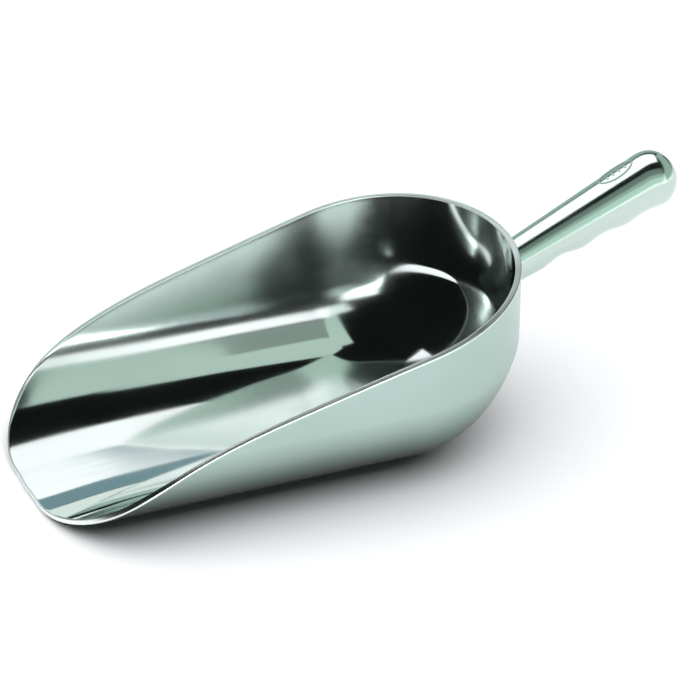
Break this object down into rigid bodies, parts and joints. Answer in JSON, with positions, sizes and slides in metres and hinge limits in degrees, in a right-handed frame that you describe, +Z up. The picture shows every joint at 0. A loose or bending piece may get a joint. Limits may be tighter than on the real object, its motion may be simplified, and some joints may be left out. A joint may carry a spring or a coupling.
{
  "type": "feed scoop",
  "caption": "Cast aluminium hand scoop: deep trough with a sloping rim, rounded back and upturned finger grip, for feed, grain or ice.",
  "frame": {"origin": "bottom centre of the whole scoop's box, level with the flat strip that it rests on", "axes": "+X runs from the lip to the end of the grip, +Z is up, and the scoop is symmetric about the XZ plane"},
  "size_m": [0.3416, 0.1644, 0.1156],
  "materials": {
    "bowl_metal": "satin outside, mirror-polished inside and on the rim",
    "grip_metal": "polished",
    "relief_metal": "polished relief"
  },
  "bodies": {
    "root": {"bowl_shell": "bowl_metal", "handle_grip": "grip_metal", "root_fillet": "grip_metal", "badge_border": "relief_metal", "badge_bars": "relief_metal"}
  },
  "joints": []
}
